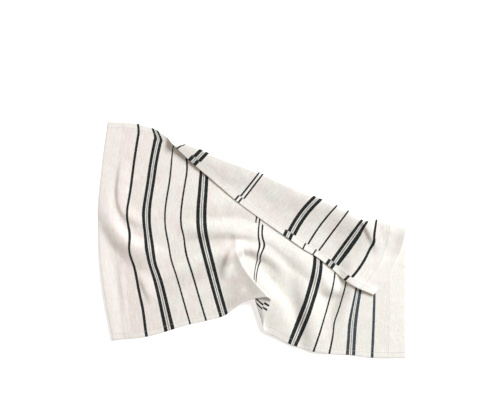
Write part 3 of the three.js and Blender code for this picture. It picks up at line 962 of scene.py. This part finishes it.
@dataclass
class HemStitches:
    """The thread that sews the hems down: rows of short stitches that show on both faces.

    A stitch is a thin tube through the square rings of the table above, with closed ends that dip
    into the cloth. cell_margin is what each face leaves free round it in its cell of the map.
    """

    cloth: FoldedCloth
    inset: float = 1.8
    pitch: float = 3.0
    length: float = 2.2
    radius: float = 0.2
    ring_points: int = 4
    cell_margin: float = 0.1

    def seam(self, side: Side, ends: bool, far: bool) -> tuple[np.ndarray, np.ndarray]:
        """One seam, read off the cloth's grid where the grid's lines cross it.

        Args:
            side: Which face of the cloth.
            ends: True for the hem of an end, False for that of a side.
            far: True for the seam furthest from the first corner of the cloth.

        Returns:
            Points on that face and its normals there, each of shape (N, 3).
        """
        cloth = self.cloth
        where, size, hem = (
            (cloth.along.T, cloth.length, cloth.end_hem) if ends
            else (cloth.across, cloth.width, cloth.side_hem))
        target = size - hem + self.inset if far else hem - self.inset
        face = cloth.faces.front if side is Side.FRONT else cloth.faces.back
        read = []
        for grid in (face, cloth.faces.normal * side.value):
            lines = grid.transpose(1, 0, 2) if ends else grid
            read.append(np.array([
                [np.interp(target, place, line[:, axis]) for axis in range(3)]
                for place, line in zip(where, lines)]))
        return read[0], unit(read[1])

    def stitches(self, points: np.ndarray, normals: np.ndarray) -> np.ndarray:
        """The stitches of one seam, at an even pitch along it.

        Each corner of a ring is centre + radius (cos(t) aside + sin(t) normal), t being its turn.

        Args:
            points: Points of the seam, shape (N, 3).
            normals: The cloth's normals there, shape (N, 3).

        Returns:
            Corners of the stitches' rings, shape (stitches, rings, ring_points, 3).
        """
        steps = np.linalg.norm(np.diff(points, axis=0), axis=1)
        gone = np.concatenate([[0.0], np.cumsum(steps)])
        middle = np.arange(self.pitch / 2, gone[-1] - self.length / 2, self.pitch)

        def read(values: np.ndarray, at: np.ndarray) -> np.ndarray:
            """Values of the seam at distances along it."""
            return np.stack([np.interp(at, gone, values[:, axis]) for axis in range(3)], axis=-1)

        along, up, thick = np.array([(r.along, r.up, r.thick) for r in STITCH_RINGS]).T
        at = middle[:, None] + along * self.length
        normal = unit(read(normals, at))
        onward = read(points, middle + self.length / 2) - read(points, middle - self.length / 2)
        aside = unit(np.cross(normal, unit(onward)[:, None, :]))
        centre = read(points, at) + normal * (up * self.radius)[:, None]
        wide = (thick * self.radius)[:, None, None]
        turn = np.arange(self.ring_points) * 2.0 * np.pi / self.ring_points
        return centre[:, :, None] + wide * (
            np.cos(turn)[:, None] * aside[:, :, None] + np.sin(turn)[:, None] * normal[:, :, None])

    def mesh(self) -> bpy.types.Object:
        """All stitches as one piece, pressed flat where the cloth lies on the ground.

        Returns:
            The stitches' object.
        """
        corners = np.concatenate([
            self.stitches(*self.seam(side, ends, far))
            for side in Side for ends in (False, True) for far in (False, True)])
        corners[..., 2] = np.maximum(corners[..., 2], 0.0)
        count, rings, sides = corners.shape[:3]
        grid = np.arange(rings * sides).reshape(rings, sides)
        after = np.roll(grid, -1, axis=1)
        walls = np.stack([grid[:-1], after[:-1], after[1:], grid[1:]], axis=-1).reshape(-1, 4)
        one = np.concatenate([walls, grid[:1, ::-1], grid[-1:]])
        faces = (one + (np.arange(count) * grid.size)[:, None, None]).reshape(-1, 4)
        cells = int(np.ceil(np.sqrt(len(faces))))
        cell = np.stack(np.divmod(np.arange(len(faces)), cells), axis=-1)[:, None, :]
        low, high = self.cell_margin, 1.0 - self.cell_margin
        square = np.array([(low, low), (high, low), (high, high), (low, high)])
        loops = (cell + square) / cells
        shift = self.cloth.box_centre()
        return build_mesh("hem_stitches", corners.reshape(-1, 3), faces, shift, loops)


# Shader nodes

class Value:
    """A number that a shader works out at each place: a socket with arithmetic."""

    def __init__(self, nodes: "Nodes", socket: bpy.types.NodeSocket) -> None:
        """Wraps one output socket of a node."""
        self.nodes = nodes
        self.socket = socket

    def math(self, operation: str, *others: "Value | float") -> "Value":
        """One Math node on this value and the others."""
        values = {i: other for i, other in enumerate((self, *others))}
        return self.nodes.add("ShaderNodeMath", {"operation": operation}, values)

    def __add__(self, other: "Value | float") -> "Value":
        """Sum."""
        return self.math("ADD", other)

    __radd__ = __add__

    def __mul__(self, other: "Value | float") -> "Value":
        """Product."""
        return self.math("MULTIPLY", other)

    def __sub__(self, other: "Value | float") -> "Value":
        """Difference."""
        return self.math("SUBTRACT", other)

    def __rsub__(self, other: float) -> "Value":
        """Difference with a number first."""
        return self * -1.0 + other

    def __truediv__(self, other: "Value | float") -> "Value":
        """Quotient."""
        return self.math("DIVIDE", other)

    def __abs__(self) -> "Value":
        """Size without its sign."""
        return self.math("ABSOLUTE")

    def sine(self) -> "Value":
        """Sine of an angle in radians."""
        return self.math("SINE")

    def larger(self, other: "Value | float") -> "Value":
        """The larger of two values."""
        return self.math("MAXIMUM", other)

    def between(self, low: float, high: float) -> "Value":
        """0 at low or before, 1 at high or after, and a smooth step between."""
        settings = {"interpolation_type": "SMOOTHSTEP"}
        return self.nodes.add("ShaderNodeMapRange", settings, {0: self, 1: low, 2: high})


class Nodes:
    """The node tree of one material."""

    def __init__(self, name: str) -> None:
        """Starts an empty material.

        Args:
            name: Name of the material.
        """
        self.material = bpy.data.materials.new(name)
        self.material.use_nodes = True
        self.tree = self.material.node_tree
        self.tree.nodes.clear()

    def make(self, kind: str, settings: dict[str, Any], inputs: dict[int | str, Any]) -> bpy.types.Node:
        """Makes one node.

        Args:
            kind: The node's type.
            settings: Its own properties, set first.
            inputs: Values or links by the socket's number or name.

        Returns:
            The node.
        """
        node = self.tree.nodes.new(kind)
        for key, value in settings.items():
            setattr(node, key, value)
        for key, value in inputs.items():
            socket = node.inputs[key]
            if isinstance(value, Value):
                self.tree.links.new(value.socket, socket)
            else:
                socket.default_value = value
        return node

    def add(self, kind: str, settings: dict[str, Any], inputs: dict[int | str, Any],
            output: int | str = 0) -> Value:
        """Makes one node and returns one of its outputs as a value."""
        return Value(self, self.make(kind, settings, inputs).outputs[output])

    def blend(self, factor: "Value | float", first: Any, second: Any) -> Value:
        """Colour between two colours."""
        values = {0: factor, 6: first, 7: second}
        return self.add("ShaderNodeMix", {"data_type": "RGBA"}, values, 2)

    def vector(self, x: "Value | float", y: "Value | float", z: "Value | float") -> Value:
        """Vector of three values."""
        return self.add("ShaderNodeCombineXYZ", {}, {0: x, 1: y, 2: z})

    def with_surface(self, inputs: dict[int | str, Any]) -> bpy.types.Material:
        """Gives the material its surface.

        Args:
            inputs: Values or links of the surface's shader, by the socket's name.

        Returns:
            The material.
        """
        surface = self.add("ShaderNodeBsdfPrincipled", {}, inputs)
        self.make("ShaderNodeOutputMaterial", {}, {"Surface": surface})
        return self.material


# The finish

class Weave(Enum):
    """How a stripe is woven."""

    LINE = "line"
    BAND = "band"


@dataclass(frozen=True)
class Stripe:
    """One stripe across the cloth: its middle and width in millimetres along the cloth."""

    at: float
    width: float
    weave: Weave = Weave.LINE


STRIPES = (
    Stripe(70, 6),
    Stripe(118, 22, Weave.BAND),
    Stripe(163, 3.9),
    Stripe(197, 3.9),
    Stripe(240, 22, Weave.BAND),
    Stripe(510, 22, Weave.BAND),
    Stripe(556, 3.9),
    Stripe(584, 3.9),
    Stripe(632, 22, Weave.BAND),
    Stripe(682, 6),
)


@dataclass(frozen=True)
class Place:
    """A place on the cloth: along and across it in millimetres, and 0 at its front to 1 at its back."""

    along: Value
    across: Value
    back: Value


@dataclass(frozen=True)
class Grain:
    """Smooth noise from 0 to 1 over the cloth.

    along and across are the sizes of its bumps in millimetres. behind is how many bumps the back's
    pattern is off the front's, and start where the pattern begins, in bumps.
    """

    along: float
    across: float
    behind: float
    detail: float = 2.0
    roughness: float = 0.5
    start: tuple[float, float] = (0.0, 0.0)

    def value(self, place: Place) -> Value:
        """The noise at a place.

        Args:
            place: The place on the cloth.

        Returns:
            The noise there.
        """
        nodes = place.along.nodes
        along, across = place.along / self.along + self.start[0], place.across / self.across
        where = nodes.vector(along, across, place.back * self.behind + self.start[1])
        values = {"Vector": where, "Scale": 1.0, "Detail": self.detail, "Roughness": self.roughness}
        return nodes.add("ShaderNodeTexNoise", {}, values, "Fac")


@dataclass(frozen=True)
class Tint:
    """How noise tints the cloth: not at all up to start, and by strength from full on."""

    start: float
    full: float
    strength: float

    def mask(self, noise: Value) -> Value:
        """Strength of the tint where the noise has a value."""
        return noise.between(self.start, self.full) * self.strength


@dataclass(frozen=True)
class StripedCotton:
    """Undyed cotton with woven charcoal stripes, uneven from thread to thread.

    Colours are linear. Lengths are in millimetres. A slub is a thicker stretch of one thread. The
    stripes of a turned hem lie a little off those of the cloth under it, by a share of the distance
    from the left end, because the hem was turned slightly askew.

    wander moves the stripes by up to half of swing. broad is the share of the broad clouds in the
    mint and pink tints, the rest being fine streaks. The pink is weaker by pink_behind at the back
    and fades by pink_faded over pink_fades, and at the left end it is full, up to pink_end.
    yarn_flecks and band_yarn are a least share of the flecks or the yarn and what comes on top.
    Towards the right end the front's stripes turn from charcoal to slate and show more flecks:
    this is painted light, as if lit more there. A band has a light middle with a dark core,
    band_light and band_core to each side. The pair of lines is shifted by pair_jog in front of
    pair_change. relief gives the shares of the weave, warp, weft, slubs and mottle in the
    surface's bumps.
    """

    cream: Colour = (0.88, 0.86, 0.82, 1.0)
    pink: Colour = (0.885, 0.785, 0.775, 1.0)
    mint: Colour = (0.80, 0.83, 0.795, 1.0)
    pale: Colour = (0.93, 0.92, 0.89, 1.0)
    cool: Colour = (0.86, 0.85, 0.815, 1.0)
    slate: Colour = (0.045, 0.065, 0.085, 1.0)
    # Darker tone for the random mottle and the uneven threads, and painted shade along the sewn seams
    tone_and_shade: Colour = (0.55, 0.52, 0.485, 1.0)
    charcoal: Colour = (0.012, 0.017, 0.019, 1.0)
    fleck: Colour = (0.40, 0.43, 0.44, 1.0)
    length: float = 750.0
    width: float = 500.0
    side_hem: float = 14.0
    end_hem: float = 36.0
    seam_inset: float = 1.8
    seam_half: float = 0.5
    soft: float = 0.5
    turned_soft: float = 0.3
    askew: float = 0.0108
    to_hem_back: tuple[float, float] = (0.2, 0.3)
    to_back: tuple[float, float] = (0.3, 0.7)
    wander: Grain = Grain(5.0, 7.0, 7.0)
    swing: float = 1.1
    warp: Grain = Grain(0.8, 14.0, 5.0, 3.0, 0.6)
    weft: Grain = Grain(9.0, 0.9, 5.0, 3.0, 0.6, (0.0, 3.0))
    slubs: Grain = Grain(2.3, 30.0, 9.0)
    flecks: Grain = Grain(1.3, 2.3, 3.0, 3.0, 0.7)
    streak: Grain = Grain(4.2, 45.0, 2.0, 3.0)
    cloud: Grain = Grain(34.0, 50.0, 11.0)
    haze: Grain = Grain(26.0, 45.0, 8.0, start=(40.0, 0.0))
    mottle: Grain = Grain(3.4, 7.5, 6.0, 3.0, 0.65)
    broad: float = 0.6
    mint_tint: Tint = Tint(0.48, 0.62, 0.75)
    pink_tint: Tint = Tint(0.46, 0.60, 0.85)
    pink_behind: float = 0.2
    pink_fades: tuple[float, float] = (260.0, 420.0)
    pink_faded: float = 0.7
    pink_end: tuple[float, float] = (30.0, 190.0)
    mottle_tint: Tint = Tint(0.52, 0.30, 0.18)
    slub_tint: Tint = Tint(0.52, 0.66, 0.9)
    thread_tint: Tint = Tint(1.04, 0.68, 0.38)
    warp_share: float = 1.2
    weft_share: float = 0.8
    hem_tint: float = 0.5
    # Share of painted shade along the sewn seams
    seam_shade_strength: float = 0.75
    # Painted light: from its start to its full place along the cloth, the front's stripes turn slate, as if
    # lit more from the right
    painted_light_tint: Tint = Tint(600.0, 632.0, 0.8)
    fleck_tint: Tint = Tint(0.54, 0.68, 1.0)
    yarn_flecks: tuple[float, float] = (0.4, 0.5)
    pair: tuple[float, float] = (370.5, 379.5)
    pair_line: float = 4.0
    pair_jog: float = 9.0
    pair_change: float = 240.0
    band_light: float = 3.3
    band_yarn: tuple[float, float] = (0.05, 0.3)
    band_core: float = 0.85
    core_dark: float = 0.85
    core_worn: float = 0.5
    thread: float = 0.62
    relief: tuple[float, ...] = (0.6, 1.5, 1.0, 1.2, 1.6)
    bump: tuple[float, float] = (0.8, 0.00016)
    roughness: float = 0.95
    shine: float = 0.04
    fuzz: tuple[float, float] = (0.02, 0.6)

    def edge(self, inside: Value, soft: float = 0.35) -> Value:
        """Mask from a distance inside an edge, in millimetres."""
        return inside.between(-soft, soft)

    def stripes(self, place: Place, flecks: Value) -> Value:
        """Mask of all the charcoal threads: the largest of the masks of the stripes and the pair.

        Args:
            place: The place on the cloth, as the stripes are woven.
            flecks: Mask of the light flecks.

        Returns:
            1 on a charcoal thread, 0 on undyed cloth.
        """
        masks = []
        for stripe in STRIPES:
            away = abs(place.along - stripe.at)
            mask = self.edge(stripe.width / 2 - away)
            if stripe.weave is Weave.BAND:
                light = self.edge(self.band_light - away)
                core = self.edge(self.band_core - away) * self.core_dark
                yarn = flecks * self.band_yarn[1] + self.band_yarn[0]
                mask = mask * (1 - light) + light * yarn.larger(core * (1 - flecks * self.core_worn))
            masks.append(mask)
        moved = place.along - self.edge(self.pair_change - place.across, self.soft) * self.pair_jog
        masks += [self.edge(self.pair_line / 2 - abs(moved - line)) for line in self.pair]
        dark = masks[0]
        for mask in masks[1:]:
            dark = dark.larger(mask)
        return dark

    def past(self, place: Place, inset: float = 0.0) -> tuple[Value, Value]:
        """How far a place lies past the inner line of a side hem, and past that of an end hem.

        Args:
            place: The place on the cloth.
            inset: How much nearer to the cloth's edges the lines are than the hems' own.

        Returns:
            Both distances in millimetres, below 0 in the middle of the cloth.
        """
        side = abs(place.across - self.width / 2) - (self.width / 2 - self.side_hem + inset)
        end = abs(place.along - self.length / 2) - (self.length / 2 - self.end_hem + inset)
        return side, end

    def hems(self, place: Place) -> Value:
        """Mask of the turned hems, where the cloth is double and lets less light through."""
        side, end = (self.edge(past, self.soft) for past in self.past(place))
        return side.larger(end)

    def seam_shade(self, place: Place) -> Value:
        """Mask of the lines where the hems are sewn: painted shade of the small groove where the stitches
        pull the cloth in.
        """
        side, end = (
            self.edge(self.seam_half - abs(past), self.soft) for past in self.past(place, self.seam_inset))
        return side.larger(end)

    def material(self) -> bpy.types.Material:
        """The cloth's material: stripes, threads and a fine weave, read from its own place.

        The undyed colour is a row of blends, each by its mask, and the charcoal yarn lies over it
        by the mask of the stripes.

        Returns:
            The material.
        """
        nodes = Nodes("striped_cotton")
        read = nodes.add("ShaderNodeAttribute", {"attribute_name": ATTRIBUTE}, {}, "Vector")
        parts = nodes.make("ShaderNodeSeparateXYZ", {}, {0: read})
        along, across, back = (Value(nodes, part) for part in parts.outputs)
        along, across = along / MILLIMETRE, across / MILLIMETRE
        place = Place(along, across, back)
        past_side, _ = self.past(place)
        turned = self.edge(past_side, self.turned_soft) * back.between(*self.to_hem_back)
        wander = (self.wander.value(place) - 0.5) * self.swing
        woven = Place(along + turned * along * self.askew + wander, across, back)
        warp, weft, slubs, mottle = (
            grain.value(woven) for grain in (self.warp, self.weft, self.slubs, self.mottle))
        streak, cloud, haze, flecks = (
            grain.value(woven) for grain in (self.streak, self.cloud, self.haze, self.flecks))
        behind = back.between(*self.to_back)

        ground = nodes.blend(behind, self.cream, self.cool)
        ground = nodes.blend(self.mint_tint.mask(mix(streak, haze, self.broad)), ground, self.mint)
        pink_most = self.pink_tint.strength
        blush = mix(streak, cloud, self.broad).between(self.pink_tint.start, self.pink_tint.full)
        blush = blush * (pink_most - back * self.pink_behind)
        blush = blush * (1 - along.between(*self.pink_fades) * (1 - back) * self.pink_faded)
        blush = blush.larger((1 - along.between(*self.pink_end)) * pink_most)
        threads = warp * self.warp_share + weft * self.weft_share
        # Each mask blends in its colour: pink blush, random mottle, paler doubled hems, slubs, uneven
        # threads, and painted shade along the sewn seams
        for mask, colour in (
            (blush, self.pink),
            (self.mottle_tint.mask(mottle), self.tone_and_shade),
            (self.hems(place) * self.hem_tint, self.pale),
            (self.slub_tint.mask(slubs), self.pale),
            (self.thread_tint.mask(threads), self.tone_and_shade),
            (self.seam_shade(place) * self.seam_shade_strength, self.tone_and_shade),
        ):
            ground = nodes.blend(mask, ground, colour)

        flecks = self.fleck_tint.mask(flecks)
        # Painted light: on the front towards the right end, the charcoal yarn turns slate and shows more
        # flecks, as if lit more there
        painted_light = along.between(self.painted_light_tint.start, self.painted_light_tint.full) * (1 - behind)
        yarn = nodes.blend(painted_light * self.painted_light_tint.strength, self.charcoal, self.slate)
        yarn = nodes.blend(flecks * (painted_light * self.yarn_flecks[1] + self.yarn_flecks[0]), yarn, self.fleck)
        colour = nodes.blend(self.stripes(woven, flecks), ground, yarn)

        beat = np.pi / self.thread
        over = (along * beat).sine() * (across * beat).sine()
        height = sum(part * share for part, share in zip((over, warp, weft, slubs, mottle), self.relief))
        strength, distance = self.bump
        sheen, sheen_roughness = self.fuzz
        bump = nodes.add(
            "ShaderNodeBump", {}, {"Strength": strength, "Distance": distance, "Height": height})
        return nodes.with_surface({
            "Base Color": colour, "Roughness": self.roughness, "Specular IOR Level": self.shine,
            "Sheen Weight": sheen, "Sheen Roughness": sheen_roughness, "Normal": bump})


@dataclass(frozen=True)
class CottonThread:
    """Undyed sewing thread."""

    colour: Colour = (0.86, 0.85, 0.81, 1.0)
    roughness: float = 0.8
    shine: float = 0.2

    def material(self) -> bpy.types.Material:
        """One even, dull colour."""
        return Nodes("cotton_thread").with_surface({
            "Base Color": self.colour, "Roughness": self.roughness, "Specular IOR Level": self.shine})


@dataclass(frozen=True)
class FloorWhite:
    """Even white of the floor, which glows a little so that it shows no dark corners."""

    colour: Colour = (0.8, 0.8, 0.8, 1.0)
    roughness: float = 0.9
    shine: float = 0.1
    glow: Colour = (1.0, 1.0, 1.0, 1.0)
    glow_strength: float = 0.47

    def material(self) -> bpy.types.Material:
        """One even colour with its glow."""
        return Nodes("floor_white").with_surface({
            "Base Color": self.colour, "Roughness": self.roughness, "Specular IOR Level": self.shine,
            "Emission Color": self.glow, "Emission Strength": self.glow_strength})


@dataclass
class Studio:
    """Pale floor, soft light from the back right, and a camera that looks straight down.

    frame_width is how much of the floor the picture shows at the height of camera_above.
    """

    lens: float = 85.0
    sensor: float = 36.0
    frame_width: float = 1.131
    camera_above: float = 0.006
    aim: tuple[float, float] = (-0.0052, 0.0713)
    floor_size: float = 14.0
    floor_drop: float = 0.0003
    key_place: tuple[float, float, float] = (3.0, 3.0, 2.7)
    key_size: float = 2.0
    key_power: float = 358.0
    key_colour: tuple[float, float, float] = (0.94, 0.97, 0.98)
    world_colour: Colour = (1.0, 0.90, 0.80, 1.0)
    world_strength: float = 0.38

    def floor(self) -> None:
        """The floor, which isn't part of the towel."""
        half = self.floor_size / 2
        corners = [(-half, -half, 0), (half, -half, 0), (half, half, 0), (-half, half, 0)]
        data = bpy.data.meshes.new("floor")
        data.from_pydata(corners, [], [(0, 1, 2, 3)])
        data.materials.append(FloorWhite().material())
        floor = add_object("floor", data)
        floor.location.z = -self.floor_drop

    def key(self) -> None:
        """A square soft light that points at the towel."""
        data = bpy.data.lights.new("key", "AREA")
        data.color = self.key_colour
        data.shape = "SQUARE"
        data.size = self.key_size
        data.energy = self.key_power
        lamp = add_object("key", data)
        lamp.location = self.key_place
        lamp.rotation_mode = "QUATERNION"
        lamp.rotation_quaternion = (-Vector(self.key_place)).to_track_quat("-Z", "Y")

    def world(self) -> None:
        """Even, faintly warm light from all round."""
        world = bpy.data.worlds.new("studio")
        world.use_nodes = True
        background = world.node_tree.nodes["Background"]
        background.inputs["Color"].default_value = self.world_colour
        background.inputs["Strength"].default_value = self.world_strength
        bpy.context.scene.world = world

    def camera(self) -> None:
        """A long lens straight above the towel."""
        data = bpy.data.cameras.new("camera")
        data.lens = self.lens
        data.sensor_width = self.sensor
        camera = add_object("camera", data)
        camera.location = (*self.aim, self.frame_width * self.lens / self.sensor + self.camera_above)
        bpy.context.scene.camera = camera

    def build(self) -> None:
        """Sets the floor, the lights, the camera and the way that colours are shown."""
        self.floor()
        self.key()
        self.world()
        self.camera()
        bpy.context.scene.view_settings.view_transform = "Standard"


def main() -> None:
    """Builds the towel and its studio."""
    logging.basicConfig(level=logging.INFO, format="%(name)s: %(message)s")
    cloth = FoldedCloth()
    sheet = cloth.mesh()
    sheet.data.materials.append(StripedCotton().material())
    stitches = HemStitches(cloth).mesh()
    stitches.data.materials.append(CottonThread().material())
    for piece in (sheet, stitches):
        data = piece.data
        LOG.info("%s: %d points, %d faces", piece.name, len(data.vertices), len(data.polygons))
        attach(piece, "root")
    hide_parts("cloth")
    Studio().build()


if __name__ == "__main__":
    main()
